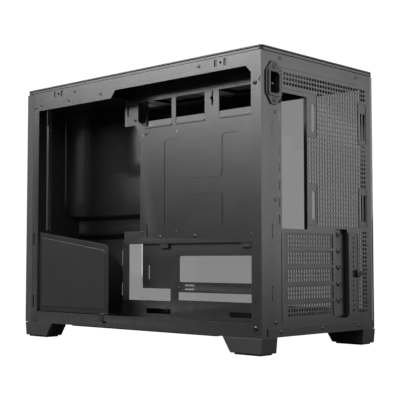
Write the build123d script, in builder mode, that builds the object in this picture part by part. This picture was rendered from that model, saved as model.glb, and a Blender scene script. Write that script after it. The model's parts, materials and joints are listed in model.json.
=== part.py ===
"""Open desktop computer tower: a welded sheet-steel chassis with glass front and left panels.

The frame is +Z up, +Y to the rear and +X to the open side. The origin is on the floor under the
middle of the case. All sizes are in millimetres.
"""

from build123d import *
import os

os.makedirs("parts", exist_ok=True)

# ---- overall sizes -------------------------------------------------------------------------
case_width = 227.0
case_depth = 440.0
body_height = 333.0
foot_height = 20.0
sheet = 1.0
front_depth = 14.5
glass_thick = 4.0
glass_gap = 1.0
lid_thick = 2.0
rim_height = 4.0
fit_gap = 0.4
hole_gap = 0.1

half_w = case_width / 2
half_d = case_depth / 2
base_z = foot_height
top_z = base_z + body_height
rail_top = top_z - lid_thick - rim_height
roof_under = rail_top - sheet
floor_top = base_z + sheet
left_wall = -half_w + glass_thick + glass_gap
front_wall = -half_d + front_depth
rear_face = half_d - sheet
rear_inside = rear_face - sheet
front_inside = front_wall + sheet

# ---- side frame around the open side -------------------------------------------------------
rail_height = 16.0
left_rail_height = 24.5
deep_rail_height = 26.0
deep_rail_length = 167.5
rail_chamfer = 8.0
front_column = 12.5
rear_column = 15.0
front_column_y = front_wall + front_column
rear_column_y = rear_face - rear_column
deep_rail_y = front_wall + deep_rail_length

# ---- rear panel ----------------------------------------------------------------------------
tray_x = half_w - 37.1
slot_count = 5
slot_pitch = 20.32
slot_height = 17.6
slot_width = 96.0
slot_right_x = tray_x - 4.0
slot_first_z = base_z + 110.3
io_width = 44.45
io_height = 158.75
io_widening = 10.6
io_flange = 4.0
io_bottom_z = slot_first_z + 13.7
io_left_x = slot_right_x - io_width
io_right_x = slot_right_x + io_widening
clamp_recess_width = 25.3
clamp_recess_depth = 4.0
clamp_plate_width = 22.0
vent_hole = 3.8
vent_pitch_x = 5.5
vent_pitch_z = 5.6
fan_spacing = 105.0
fan_slot_length = 35.0
fan_centre_x = io_left_x - 65.2
fan_centre_z = base_z + 206.0
inlet_x = half_w - 21.9
inlet_z = top_z - 41.8

# ---- inner walls ---------------------------------------------------------------------------
tray_bottom = base_z + 109.0
lower_plate_x = tray_x - 4.0
divider_x = half_w - 87.5
divider_step = 8.0
divider_rear_y = front_inside + 146.0
divider_bottom = base_z + 118.0
lower_wall_x = divider_x - 2 * divider_step
divider_corner = 28.0
bay_roof_z = base_z + 302.0
psu_frame_y = front_inside + 27.0
psu_frame_bottom = base_z + 130.0
psu_hole_z = 138.0

# ---- fasteners -----------------------------------------------------------------------------
shank_r = 1.5
head_r = 2.8
head_height = 1.4
rivet_r = 2.4
rivet_height = 0.7


def window(x0, x1, y0, y1, mode=Mode.ADD):
    """Rectangle between two opposite corners of the sketch."""
    with Locations(((x0 + x1) / 2, (y0 + y1) / 2)):
        Rectangle(x1 - x0, y1 - y0, mode=mode)


def cut_window(x0, x1, y0, y1):
    """Rectangular hole between two opposite corners of the sketch."""
    window(x0, x1, y0, y1, mode=Mode.SUBTRACT)


def cut_round(x, y, radius):
    """Round hole at a point of the sketch."""
    with Locations((x, y)):
        Circle(radius, mode=Mode.SUBTRACT)


def outline(*points, mode=Mode.ADD):
    """Closed straight-sided face through the given points of the sketch."""
    Polygon(*points, align=None, mode=mode)


def rear_plane(y):
    """Sketch plane that faces the rear, with local x along +X and local y up; extrude goes to -Y."""
    return Plane.XZ.offset(-y)


def side_plane(x):
    """Sketch plane that faces +X, with local x along +Y and local y up."""
    return Plane.YZ.offset(x)


def hole_grid(plane, centre, pitch, counts, size, leave_out=()):
    """Rectangular hole outlines on a grid of a plane, without those inside the given rectangles."""
    holes = []
    for place in GridLocations(*pitch, *counts).locations:
        x = place.position.X + centre[0]
        y = place.position.Y + centre[1]
        if any(x0 < x < x1 and y0 < y < y1 for x0, x1, y0, y1 in leave_out):
            continue
        holes.append(Wire.make_rect(*size, Plane(plane.location * Location((x, y, 0)))))
    return holes


def punched(face, holes):
    """The same flat face with further holes, each given as a closed outline."""
    return Face(face.outer_wire(), [*face.inner_wires(), *holes])


def keep(part, name):
    """Label a finished piece and write it to its own file."""
    part.label = name
    export_step(part, f"parts/{name}.step")


# ---- where the fasteners go ----------------------------------------------------------------
side_screw_spots = [
    (front_wall + 92.5, top_z - 13.0),
    (front_wall + 78.5, top_z - 24.0),
    (front_wall + 146.5, top_z - 23.0),
    (front_wall + 4.5, top_z - 26.0),
    (front_wall + 17.5, top_z - 24.0),
    (rear_face - 97.0, top_z - 12.0),
]
column_screw_spots = [(rear_column_y + 6.0, top_z - 43.0), (rear_column_y + 6.0, base_z + 11.0)]
rear_rivet_spots = [
    (tray_x + 2.6, top_z - 11.0),
    (tray_x + 12.1, top_z - 75.0),
    (tray_x + 12.1, base_z + 157.0),
    (left_wall + 32.5, top_z - 12.0),
    (tray_x + 12.6, base_z + 17.0),
]
base_rivet_spots = [(80.0, base_z + 6.0), (1.0, base_z + 6.0), (-78.0, base_z + 6.0)]
catch_spots = [(front_wall + 56.5, top_z - 12.5), (rear_face - 62.0, top_z - 12.5)]
tray_front = deep_rail_y + 18.0
tray_screw_spots = [
    (tray_front + 11.0, base_z + 255.0),
    (tray_front - 10.0, base_z + 275.0),
    (tray_front + 38.0, base_z + 118.0),
    (rear_inside - 138.0, base_z + 118.0),
    (rear_inside - 45.0, base_z + 118.0),
]
board_rear_y = rear_inside - 12.0
board_spots_y = [board_rear_y - 157.48 - 63.5, board_rear_y - 157.48, board_rear_y]
board_spots_z = [base_z + 53.5, base_z + 125.0, base_z + 253.0]
stand_off_height = 6.5
stand_off_r = 2.6
stud_r = 2.0
stud_length = 8.0
stud_y = half_d - 70.0
left_stud_spots = [
    (-stud_y, rail_top - rail_height / 2),
    (stud_y, rail_top - rail_height / 2),
    (-stud_y, base_z + rail_height / 2 + 1.0),
    (stud_y, base_z + rail_height / 2 + 1.0),
]
front_stud_spots = [
    (left_wall + 48.5, rail_top - 8.0),
    (half_w - 43.5, rail_top - 8.0),
    (left_wall + 48.5, base_z + 8.0),
    (half_w - 43.5, base_z + 8.0),
]

# ---- base pan ------------------------------------------------------------------------------
rear_lip_height = 11.0
floor_vent_columns = 6
floor_vent_rows = 32
filter_y = -18.0
with BuildPart() as base_pan:
    with BuildSketch(Plane.XY.offset(base_z), mode=Mode.PRIVATE) as floor:
        window(left_wall, half_w, front_wall, half_d)
    floor_vents = hole_grid(
        Plane.XY.offset(base_z),
        (0.0, filter_y),
        (24.0, 8.0),
        (floor_vent_columns, floor_vent_rows),
        (18.0, 4.4),
    )
    extrude(punched(floor.sketch.face(), floor_vents), amount=sheet, dir=(0, 0, 1))
    with BuildSketch(side_plane(half_w)):
        window(front_column_y, rear_column_y, floor_top, base_z + rail_height)
        cut_window(-52.0, -44.0, base_z + 5.0, base_z + 8.0)
    extrude(amount=-sheet)
    with BuildSketch(side_plane(left_wall)):
        window(front_inside, rear_inside, floor_top, base_z + left_rail_height)
        for spot_y, spot_z in left_stud_spots[2:]:
            cut_round(spot_y, spot_z, stud_r + fit_gap)
    extrude(amount=sheet)
    with BuildSketch(rear_plane(half_d)):
        window(left_wall, half_w - 10.0, floor_top, base_z + rear_lip_height)
        for rivet_x, rivet_z in base_rivet_spots:
            cut_round(rivet_x, rivet_z, shank_r + hole_gap)
    extrude(amount=sheet)
keep(base_pan.part, "base_pan")

# ---- rear panel with its side columns --------------------------------------------------------
vent_columns = 22
vent_rows = 32
vent_margin = 2.8
vent_first_x = io_left_x - 6.65
vent_first_z = io_bottom_z + 181.0
vent_centre = (
    vent_first_x - (vent_columns - 1) / 2 * vent_pitch_x,
    vent_first_z - (vent_rows - 1) / 2 * vent_pitch_z,
)
vent_x0 = vent_first_x - vent_columns * vent_pitch_x - vent_margin
vent_x1 = vent_first_x + vent_pitch_x / 2
vent_z0 = vent_first_z - (vent_rows - 1) * vent_pitch_z - vent_margin
vent_z1 = vent_first_z + vent_margin
vent_size = (vent_hole, vent_hole)
vent_pitch = (vent_pitch_x, vent_pitch_z)
over_io_columns = 9
over_io_rows = 3
over_io_centre = (
    vent_first_x + (over_io_columns + 1) / 2 * vent_pitch_x,
    vent_first_z - (over_io_rows - 1) / 2 * vent_pitch_z,
)
slot_left_x = slot_right_x - slot_width
recess_z0 = base_z + 16.6
recess_z1 = base_z + 125.9
recess_x1 = slot_left_x - 4.8
recess_x0 = recess_x1 - clamp_recess_width
recess_floor_y = rear_inside - clamp_recess_depth
inlet_cut_x = 24.4
inlet_cut_z = 31.4
inlet_screw_pitch = 38.8
strip_slot_x = half_w - 19.2
strip_slot_spots = [base_z + 239.0, base_z + 121.0, base_z + 50.0]
side_vent_x = recess_x0 - 33.8
bead_width = 1.2
bead_height = 0.5
pad_x1 = fan_centre_x - fan_spacing / 2 + 9.3
pad_x0 = fan_centre_x - fan_spacing / 2 - 8.7
left_pad_x = fan_centre_x + fan_spacing / 2 - 7.4
pad_bands = [(base_z + 235.3, base_z + 288.0), (vent_z0 + 0.8, base_z + 179.1)]
with BuildPart() as rear_panel:
    with BuildSketch(rear_plane(rear_face), mode=Mode.PRIVATE) as rear_blank:
        window(left_wall, half_w, floor_top, roof_under)
        outline(
            (io_left_x, io_bottom_z),
            (io_right_x - 5.0, io_bottom_z),
            (io_right_x, io_bottom_z + 7.0),
            (io_right_x, io_bottom_z + io_height - 5.0),
            (io_right_x - 5.0, io_bottom_z + io_height),
            (io_left_x, io_bottom_z + io_height),
            mode=Mode.SUBTRACT,
        )
        cut_window(vent_x0, vent_x1, vent_z0, vent_z1)
        for slot in range(slot_count):
            slot_z = slot_first_z - slot * slot_pitch
            cut_window(slot_left_x, slot_right_x, slot_z - slot_height / 2, slot_z + slot_height / 2)
        cut_window(recess_x0, recess_x1, recess_z0, recess_z1)
        cut_window(
            inlet_x - inlet_cut_x / 2,
            inlet_x + inlet_cut_x / 2,
            inlet_z - inlet_cut_z / 2,
            inlet_z + inlet_cut_z / 2,
        )
        for side in (-1, 1):
            cut_round(inlet_x, inlet_z + side * inlet_screw_pitch / 2, shank_r + hole_gap)
        for slot_z in strip_slot_spots:
            cut_window(strip_slot_x - 0.6, strip_slot_x + 0.6, slot_z - 7.0, slot_z + 7.0)
            for side in (-1, 1):
                cut_round(strip_slot_x, slot_z + side * 7.0, 1.4)
        for rivet_x, rivet_z in rear_rivet_spots + base_rivet_spots:
            cut_round(rivet_x, rivet_z, shank_r + hole_gap)
    over_io = hole_grid(
        rear_plane(rear_face), over_io_centre, vent_pitch, (over_io_columns, over_io_rows), vent_size
    )
    beside_clamp = hole_grid(
        rear_plane(rear_face), (side_vent_x, base_z + 73.0), (5.0, 5.2), (4, 20), (3.2, 3.2)
    )
    extrude(punched(rear_blank.sketch.face(), over_io + beside_clamp), amount=sheet, dir=(0, -1, 0))
    with BuildSketch(rear_plane(rear_face + bead_height)):
        window(vent_x0 + 22.0, slot_right_x + 5.6, base_z + 311.4, base_z + 311.4 + bead_width)
        window(slot_right_x + 4.0, slot_right_x + 4.0 + bead_width, recess_z0, slot_first_z + slot_height / 2)
        with BuildLine():
            FilletPolyline(
                (slot_right_x + 3.8, base_z + 309.0),
                (slot_right_x + 3.8, base_z + 288.0),
                (vent_x1 + 0.2, base_z + 288.0),
                radius=3.0,
            )
        trace(line_width=bead_width)
    extrude(amount=bead_height)
    with BuildSketch(side_plane(half_w)):
        window(rear_column_y, rear_inside, floor_top, rail_top - deep_rail_height + 2.0)
        outline(
            (rear_inside, top_z - 44.0),
            (rear_inside, top_z - 36.0),
            (rear_inside - 3.0, top_z - 40.0),
            mode=Mode.SUBTRACT,
        )
        for screw_y, screw_z in column_screw_spots:
            cut_round(screw_y, screw_z, shank_r + hole_gap)
    extrude(amount=-sheet)
    with BuildSketch(side_plane(left_wall)):
        window(rear_column_y, rear_inside, base_z + left_rail_height, rail_top - rail_height)
    extrude(amount=sheet)
    with BuildSketch(side_plane(io_left_x - sheet)):
        window(rear_inside - io_flange, rear_inside, io_bottom_z, io_bottom_z + io_height)
    extrude(amount=sheet)
keep(rear_panel.part, "rear_panel")

# ---- perforated rear vent with its slotted fan fixings -----------------------------------------
fan_slot_width = 7.0
fan_twin_slot_width = 4.6
with BuildPart() as rear_vent:
    with BuildSketch(rear_plane(rear_face), mode=Mode.PRIVATE) as vent_blank:
        window(vent_x0, vent_x1, vent_z0, vent_z1)
        for end in (-1, 1):
            with Locations((fan_centre_x + fan_spacing / 2, fan_centre_z + end * fan_spacing / 2)):
                SlotOverall(fan_slot_length, fan_slot_width, rotation=90, mode=Mode.SUBTRACT)
            with Locations((fan_centre_x - fan_spacing / 2, fan_centre_z + end * fan_spacing / 2)):
                with GridLocations(7.6, 0, 2, 1):
                    SlotOverall(fan_slot_length, fan_twin_slot_width, rotation=90, mode=Mode.SUBTRACT)
    fan_pads = [(left_pad_x, vent_x1, z0 - 1.0, z1 + 1.0) for z0, z1 in pad_bands]
    fan_pads += [(pad_x0, pad_x1, z0 - 1.0, z1 + 1.0) for z0, z1 in pad_bands]
    vent_holes = hole_grid(
        rear_plane(rear_face),
        vent_centre,
        vent_pitch,
        (vent_columns, vent_rows),
        vent_size,
        leave_out=fan_pads,
    )
    extrude(punched(vent_blank.sketch.face(), vent_holes), amount=sheet, dir=(0, -1, 0))
    with BuildSketch(rear_plane(rear_face + bead_height)):
        for pad_z0, pad_z1 in pad_bands:
            with BuildLine():
                FilletPolyline(
                    (vent_x1 - 0.4, pad_z1),
                    (left_pad_x, pad_z1),
                    (left_pad_x, pad_z0),
                    (vent_x1 - 0.4, pad_z0),
                    radius=4.0,
                )
            trace(line_width=bead_width)
            with BuildLine():
                FilletPolyline(
                    (pad_x1, pad_z1),
                    (pad_x0, pad_z1),
                    (pad_x0, pad_z0),
                    (pad_x1, pad_z0),
                    radius=3.0,
                    close=True,
                )
            trace(line_width=bead_width)
    extrude(amount=bead_height)
keep(rear_vent.part, "rear_vent")

# ---- top frame -------------------------------------------------------------------------------
top_window_x0 = -86.0
top_window_x1 = 14.0
top_fan_y = (-72.0, 58.0)
top_fan_x = (top_window_x0 + top_window_x1) / 2
top_slot_length = 14.0
with BuildPart() as top_frame:
    with BuildSketch(Plane.XY.offset(roof_under)):
        window(left_wall, half_w, front_wall, rear_face)
        for fan_y in top_fan_y:
            cut_window(top_window_x0 + 4.0, top_window_x1 - 4.0, fan_y - 45.0, fan_y + 45.0)
            with Locations((top_fan_x, fan_y)):
                with GridLocations(fan_spacing, fan_spacing, 2, 2):
                    SlotOverall(top_slot_length, 4.6, mode=Mode.SUBTRACT)
        cut_window(40.0, 70.0, -20.0, 150.0)
    extrude(amount=sheet)
    with BuildSketch(side_plane(half_w)):
        outline(
            (front_inside, roof_under),
            (rear_inside, roof_under),
            (rear_inside, rail_top - deep_rail_height + 2.0),
            (rear_column_y, rail_top - deep_rail_height + 2.0),
            (rear_column_y - rail_chamfer, rail_top - rail_height),
            (deep_rail_y + rail_chamfer, rail_top - rail_height),
            (deep_rail_y, rail_top - deep_rail_height),
            (front_inside, rail_top - deep_rail_height),
        )
        for screw_y, screw_z in side_screw_spots:
            cut_round(screw_y, screw_z, shank_r + hole_gap)
        for catch_y, catch_z in catch_spots:
            cut_round(catch_y, catch_z, 1.6)
            with Locations((catch_y - 7.5, catch_z), (catch_y + 7.5, catch_z)):
                Rectangle(5.0, 8.5, mode=Mode.SUBTRACT)
    extrude(amount=-sheet)
    with BuildSketch(side_plane(left_wall)):
        window(front_inside, rear_inside, rail_top - rail_height, roof_under)
        for spot_y, spot_z in left_stud_spots[:2]:
            cut_round(spot_y, spot_z, stud_r + fit_gap)
    extrude(amount=sheet)
keep(top_frame.part, "top_frame")

# ---- rim between the top frame and the top cover -----------------------------------------------
rim_width = 9.0
rim_corner = 5.0
with BuildPart() as top_rim:
    with BuildSketch(Plane.XY.offset(rail_top)):
        RectangleRounded(case_width, case_depth, rim_corner)
        Rectangle(case_width - 2 * rim_width, case_depth - 2 * (rim_width + front_depth), mode=Mode.SUBTRACT)
    extrude(amount=rim_height - fit_gap)
keep(top_rim.part, "top_rim")

# ---- front frame -------------------------------------------------------------------------------
front_window_x1 = lower_wall_x - 3.0
front_window_z0 = base_z + 16.0
front_window_z1 = rail_top - 20.0
hook_slot_spots = [base_z + 118.0, base_z + 30.0]
with BuildPart() as front_frame:
    with BuildSketch(rear_plane(front_inside)):
        window(left_wall, half_w, floor_top, roof_under)
        cut_window(left_wall, front_window_x1, front_window_z0, front_window_z1)
        for stud_x, stud_z in front_stud_spots:
            cut_round(stud_x, stud_z, stud_r + fit_gap)
    extrude(amount=sheet)
    with BuildSketch(side_plane(half_w)):
        window(front_inside, front_column_y, floor_top, rail_top - deep_rail_height)
        for slot_z in hook_slot_spots:
            cut_window(front_inside + 1.0, front_inside + 4.0, slot_z - 8.5, slot_z + 8.5)
    extrude(amount=-sheet)
keep(front_frame.part, "front_frame")

# ---- motherboard tray ----------------------------------------------------------------------------
tray_ear = tray_front - 31.0
ear_bottom = base_z + 268.0
ear_top = base_z + 126.0
cable_z0 = base_z + 264.0
cable_z1 = base_z + 298.0
first_cable_end = tray_front + 58.5
cable_openings = [(rear_inside - 172.0, rear_inside - 121.0), (rear_inside - 97.0, rear_inside - 42.0)]
bead_corner = 5.0
bead_paths = [
    [(168.0, 244.0), (193.0, 242.5), (193.0, 129.0), (166.0, 127.5)],
    [(66.0, 243.0), (92.5, 243.5), (92.5, 191.0), (164.0, 192.0)],
    [(164.0, 172.0), (92.5, 171.0), (92.5, 128.5), (66.0, 127.5)],
]
with BuildPart() as motherboard_tray:
    with BuildSketch(side_plane(tray_x - sheet)):
        outline(
            (tray_ear, roof_under),
            (rear_inside, roof_under),
            (rear_inside, tray_bottom),
            (tray_ear, tray_bottom),
            (tray_ear, ear_top),
            (tray_front, ear_top),
            (tray_front, ear_bottom - 15.0),
            (tray_front - 11.0, ear_bottom),
            (tray_ear, ear_bottom),
        )
        window(tray_front - 5.0, tray_front, base_z + 227.0, base_z + 249.0)
        cut_window(tray_front - 3.2, tray_front - 0.8, base_z + 230.0, base_z + 246.0)
        outline(
            (tray_front - 5.0, cable_z1),
            (first_cable_end, cable_z1),
            (first_cable_end, cable_z0),
            (tray_front + 8.0, cable_z0),
            (tray_front - 5.0, cable_z0 + 9.0),
            mode=Mode.SUBTRACT,
        )
        for opening_y0, opening_y1 in cable_openings:
            cut_window(opening_y0, opening_y1, cable_z0, cable_z1)
        cut_window(rear_inside - 109.5, rear_inside - 106.5, base_z + 280.0, base_z + 298.0)
        cut_window(rear_inside - 111.5, rear_inside - 109.5, base_z + 287.0, base_z + 291.0)
        cut_window(tray_ear + 4.5, tray_ear + 7.5, base_z + 281.0, base_z + 297.0)
        cut_window(tray_front + 11.8, tray_front + 14.2, base_z + 117.0, base_z + 134.0)
        for screw_y, screw_z in tray_screw_spots:
            cut_round(screw_y, screw_z, shank_r + hole_gap)
        for board_y in board_spots_y:
            for board_z in board_spots_z[1:]:
                cut_round(board_y, board_z, shank_r + hole_gap)
    extrude(amount=sheet)
    with BuildSketch(side_plane(tray_x)):
        for path in bead_paths:
            points = [(rear_inside - from_rear, base_z + rise) for from_rear, rise in path]
            with BuildLine():
                FilletPolyline(*points, radius=bead_corner)
            trace(line_width=bead_width)
    extrude(amount=bead_height)
    with BuildSketch(side_plane(tray_x)):
        window(tray_front + 8.0, first_cable_end, cable_z0 - 2.2, cable_z0)
        for opening_y0, opening_y1 in cable_openings:
            window(opening_y0, opening_y1, cable_z0 - 2.2, cable_z0)
    extrude(amount=1.4)
    with BuildSketch(rear_plane(rear_inside)):
        window(tray_x, tray_x + 14.0, tray_bottom, base_z + 268.0)
        for step in range(7):
            slot_z = io_bottom_z + 10.0 + 20.0 * step
            cut_window(tray_x + 2.0, tray_x + 4.6, slot_z - 5.5, slot_z + 5.5)
        for rivet_x, rivet_z in rear_rivet_spots:
            cut_round(rivet_x, rivet_z, shank_r + hole_gap)
    extrude(amount=sheet)
keep(motherboard_tray.part, "motherboard_tray")

# ---- lower tray plate --------------------------------------------------------------------------
lower_front = tray_front + 1.0
lower_foot_front = lower_front - 41.0
lower_foot_rear = lower_front + 52.0
lower_step_z = base_z + 51.0
lower_foot_z = base_z + 35.0
with BuildPart() as tray_lower_plate:
    with BuildSketch(side_plane(lower_plate_x - sheet)):
        outline(
            (lower_front, tray_bottom + 5.0),
            (rear_inside - 2.0, tray_bottom + 5.0),
            (rear_inside - 2.0, floor_top),
            (lower_foot_front, floor_top),
            (lower_foot_front, lower_foot_z),
            (lower_foot_rear, lower_foot_z),
            (lower_foot_rear, lower_step_z),
            (lower_front, lower_step_z),
        )
        with Locations((rear_inside - 104.5, base_z + 76.5)):
            RectangleRounded(129.0, 33.0, 3.0, mode=Mode.SUBTRACT)
        cut_window(rear_inside - 171.0, rear_inside - 40.0, base_z + 37.0, base_z + 47.0)
        cut_window(lower_front + 10.8, lower_front + 13.2, base_z + 63.0, base_z + 81.0)
        cut_window(lower_front + 7.0, lower_foot_rear, base_z + 18.0, base_z + 25.0)
        cut_window(rear_inside - 84.0, rear_inside - 42.0, base_z + 18.0, base_z + 25.0)
        for bar_z in (base_z + 51.0, base_z + 56.0):
            cut_window(rear_inside - 160.0, rear_inside - 143.0, bar_z - 0.9, bar_z + 0.9)
            cut_window(rear_inside - 48.0, rear_inside - 44.0, bar_z - 0.9, bar_z + 0.9)
        for board_y in board_spots_y:
            cut_round(board_y, board_spots_z[0], shank_r + hole_gap)
    extrude(amount=sheet)
    with BuildSketch(side_plane(lower_plate_x)):
        for tab_y in (lower_front + 43.0, rear_inside - 55.0):
            window(tab_y - 8.0, tab_y + 8.0, tray_bottom - 6.0, tray_bottom - 3.6)
    extrude(amount=tray_x - lower_plate_x)
    with BuildSketch(side_plane(lower_plate_x)):
        for tab_y in (lower_front + 43.0, rear_inside - 55.0):
            window(tab_y - 8.0, tab_y + 8.0, tray_bottom - 3.6, tray_bottom + 5.0)
    extrude(amount=tray_x - lower_plate_x - sheet)
keep(tray_lower_plate.part, "tray_lower_plate")

# ---- power supply wall: a vertical sheet with two bends near its lower edge --------------------------
corner_x = divider_x + divider_corner - sheet
corner_y = front_inside + divider_corner
corner_axis = Axis((corner_x, corner_y, 0), (0, 0, 1))


def curl_to_front(profile):
    """Carry an upright cross-section round the bay's front corner, up to the front wall."""
    turned = revolve(profile, axis=corner_axis, revolution_arc=90, mode=Mode.PRIVATE)
    reach = Box(
        2 * divider_corner,
        divider_corner,
        body_height,
        align=(Align.MIN, Align.MIN, Align.MIN),
        mode=Mode.PRIVATE,
    )
    return turned & Pos(corner_x - 2 * divider_corner, front_inside, base_z) * reach


with BuildPart() as psu_divider:
    with BuildSketch(rear_plane(corner_y)) as divider_profile:
        outline(
            (divider_x, roof_under),
            (divider_x, base_z + 153.0),
            (divider_x - divider_step, base_z + 145.0),
            (divider_x - divider_step, base_z + 126.0),
            (lower_wall_x, divider_bottom),
            (lower_wall_x - sheet, divider_bottom + 0.6),
            (divider_x - divider_step - sheet, base_z + 126.6),
            (divider_x - divider_step - sheet, base_z + 145.6),
            (divider_x - sheet, base_z + 153.6),
            (divider_x - sheet, roof_under),
        )
    extrude(amount=corner_y - divider_rear_y)
    add(curl_to_front(divider_profile.sketch))
    with BuildSketch(rear_plane(front_inside + sheet)):
        window(corner_x, corner_x + 4.0, base_z + 153.6, roof_under)
    extrude(amount=sheet)
    with BuildSketch(side_plane(divider_x)):
        window(divider_rear_y - 42.0, divider_rear_y - 6.0, base_z + 213.0, base_z + 282.0)
    extrude(amount=bead_height)
keep(psu_divider.part, "psu_divider")

# ---- lower wall with its slots ------------------------------------------------------------------
lower_wall_rear = front_inside + 90.0
lower_wall_flange = 11.0
with BuildPart() as lower_wall:
    with BuildSketch(side_plane(lower_wall_x - sheet)):
        window(corner_y, lower_wall_rear, floor_top, divider_bottom)
        for slot_z0, slot_z1 in ((22.0, 30.0), (37.0, 55.0), (80.0, 102.0)):
            cut_window(lower_wall_rear - 15.0, lower_wall_rear - 11.5, base_z + slot_z0, base_z + slot_z1)
        cut_round(lower_wall_rear - 13.0, base_z + 75.0, 1.6)
    extrude(amount=sheet)
    with BuildSketch(rear_plane(corner_y), mode=Mode.PRIVATE) as wall_profile:
        window(lower_wall_x - sheet, lower_wall_x, floor_top, divider_bottom)
    add(curl_to_front(wall_profile.sketch))
    with BuildSketch(rear_plane(lower_wall_rear)):
        window(lower_wall_x, lower_wall_x + lower_wall_flange, floor_top, divider_bottom)
    extrude(amount=sheet)
keep(lower_wall.part, "lower_wall")

# ---- roof of the power supply bay --------------------------------------------------------------
with BuildPart() as bay_roof:
    with BuildSketch(Plane.XY.offset(bay_roof_z)):
        window(divider_x + bead_height, half_w - sheet, front_inside + sheet + hole_gap, deep_rail_y)
        fillet(vertices().group_by(Axis.X)[0].sort_by(Axis.Y)[:1], divider_corner - sheet)
        cut_window(tray_x - sheet - fit_gap, tray_x + fit_gap, tray_ear - fit_gap, deep_rail_y)
        cut_window(56.0, 66.0, front_inside + 24.0, front_inside + 60.0)
    extrude(amount=sheet)
keep(bay_roof.part, "bay_roof")

# ---- post that the power supply bolts to ----------------------------------------------------------
psu_frame_x1 = half_w - 3.0
psu_post_width = 8.0
psu_hole_centre_x = psu_frame_x1 - psu_post_width / 2
psu_centre_z = base_z + 203.0
with BuildPart() as psu_frame:
    with BuildSketch(rear_plane(psu_frame_y)):
        window(psu_frame_x1 - psu_post_width, psu_frame_x1, psu_frame_bottom, bay_roof_z)
        with Locations((psu_hole_centre_x, psu_centre_z)):
            with GridLocations(0, psu_hole_z, 1, 2):
                Circle(2.1, mode=Mode.SUBTRACT)
    extrude(amount=sheet)
    with BuildSketch(side_plane(psu_frame_x1)):
        window(psu_frame_y, psu_frame_y + 3.0, psu_frame_bottom, base_z + 278.0)
    extrude(amount=-sheet)
keep(psu_frame.part, "psu_frame")

# ---- drive bracket: a plate with a slanted top edge ------------------------------------------------
bracket_x = half_w - 3.0
bracket_y0 = front_column_y + fit_gap
bracket_y1 = front_wall + 161.0
bracket_z0 = base_z + rail_height + fit_gap
bracket_front_top = base_z + 127.5
bracket_rear_top = base_z + 107.5
bracket_edge = 7.0
bracket_depth = 14.0
with BuildPart() as drive_bracket:
    with BuildSketch(side_plane(bracket_x - sheet)):
        outline(
            (bracket_y0, bracket_z0),
            (bracket_y1, bracket_z0),
            (bracket_y1, bracket_rear_top),
            (bracket_y0, bracket_front_top),
        )
    extrude(amount=sheet)
    fillet(drive_bracket.edges().filter_by(Axis.X).group_by(Axis.Y)[-1].sort_by(Axis.Z)[-1:], 9.0)
    with BuildSketch(side_plane(bracket_x)):
        outline(
            (bracket_y0 + bracket_edge, bracket_z0 + bracket_edge),
            (bracket_y1 - bracket_edge, bracket_z0 + bracket_edge),
            (bracket_y1 - bracket_edge, bracket_rear_top - bracket_edge),
            (bracket_y0 + bracket_edge, bracket_front_top - bracket_edge - 1.0),
        )
        fillet(vertices().group_by(Axis.X)[-1].sort_by(Axis.Y)[-1:], 4.0)
    extrude(amount=0.8)
    with BuildSketch(Plane.XY.offset(bracket_z0)):
        window(bracket_x - bracket_depth, bracket_x - sheet, bracket_y0 + 6.0, bracket_y1 - 4.0)
    extrude(amount=sheet)
    with BuildSketch(Plane.XY.offset(bracket_z0)):
        window(bracket_x, half_w + sheet + 0.2, bracket_y1 - 14.0, bracket_y1 - 6.0)
    extrude(amount=sheet)
    with BuildSketch(side_plane(half_w + 0.2)):
        window(bracket_y1 - 14.0, bracket_y1 - 6.0, bracket_z0 - 8.0, bracket_z0)
    extrude(amount=sheet)
keep(drive_bracket.part, "drive_bracket")

# ---- slot covers, their rail and screws --------------------------------------------------------
cover_thick = 0.9
cover_height = 19.6
cover_bend_x = recess_x1 + 1.0
cover_tab_x = recess_x0 + 1.0
screw_x = recess_x1 - 12.3
screw_rise = 8.9
rail_hem = 10.0
rail_thick = 1.2
slot_rail_y = recess_floor_y - cover_thick
for slot in range(slot_count):
    slot_z = slot_first_z - slot * slot_pitch
    with BuildPart() as slot_cover:
        with BuildSketch(rear_plane(rear_inside), mode=Mode.PRIVATE) as cover_blank:
            window(cover_bend_x, slot_right_x + 2.6, slot_z - cover_height / 2, slot_z + cover_height / 2)
        cover_holes = hole_grid(
            rear_plane(rear_inside), (slot_left_x + 46.5, slot_z), (4.99, 5.1), (17, 3), (2.6, 3.4)
        )
        extrude(punched(cover_blank.sketch.face(), cover_holes), amount=cover_thick, dir=(0, -1, 0))
        with BuildSketch(Plane.XY.offset(slot_z - cover_height / 2)):
            window(cover_bend_x, cover_bend_x + cover_thick, slot_rail_y, rear_inside - cover_thick)
            window(cover_tab_x, cover_bend_x, slot_rail_y, recess_floor_y)
        extrude(amount=cover_height)
        with BuildSketch(rear_plane(recess_floor_y)):
            with Locations((screw_x, slot_z + screw_rise)):
                Circle(shank_r + hole_gap)
            with Locations((screw_x, slot_z + screw_rise - slot_pitch)):
                Circle(shank_r + hole_gap)
        extrude(amount=cover_thick, mode=Mode.SUBTRACT)
    keep(slot_cover.part, f"slot_cover_{slot + 1}")

with BuildPart() as slot_rail:
    with BuildSketch(rear_plane(slot_rail_y)):
        window(recess_x0 - rail_thick, cover_bend_x, recess_z0 - 3.0, recess_z1 + 3.0)
        for slot in range(slot_count):
            cut_round(screw_x, slot_first_z - slot * slot_pitch + screw_rise, shank_r + hole_gap)
    extrude(amount=rail_thick)
    with BuildSketch(Plane.XY.offset(recess_z0 - 3.0)):
        window(recess_x0 - rail_thick, recess_x0, slot_rail_y, rear_inside)
        window(recess_x0 - rail_hem, recess_x0 - rail_thick, rear_inside - rail_thick, rear_inside)
    extrude(amount=recess_z1 - recess_z0 + 6.0)
keep(slot_rail.part, "slot_rail")


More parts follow.
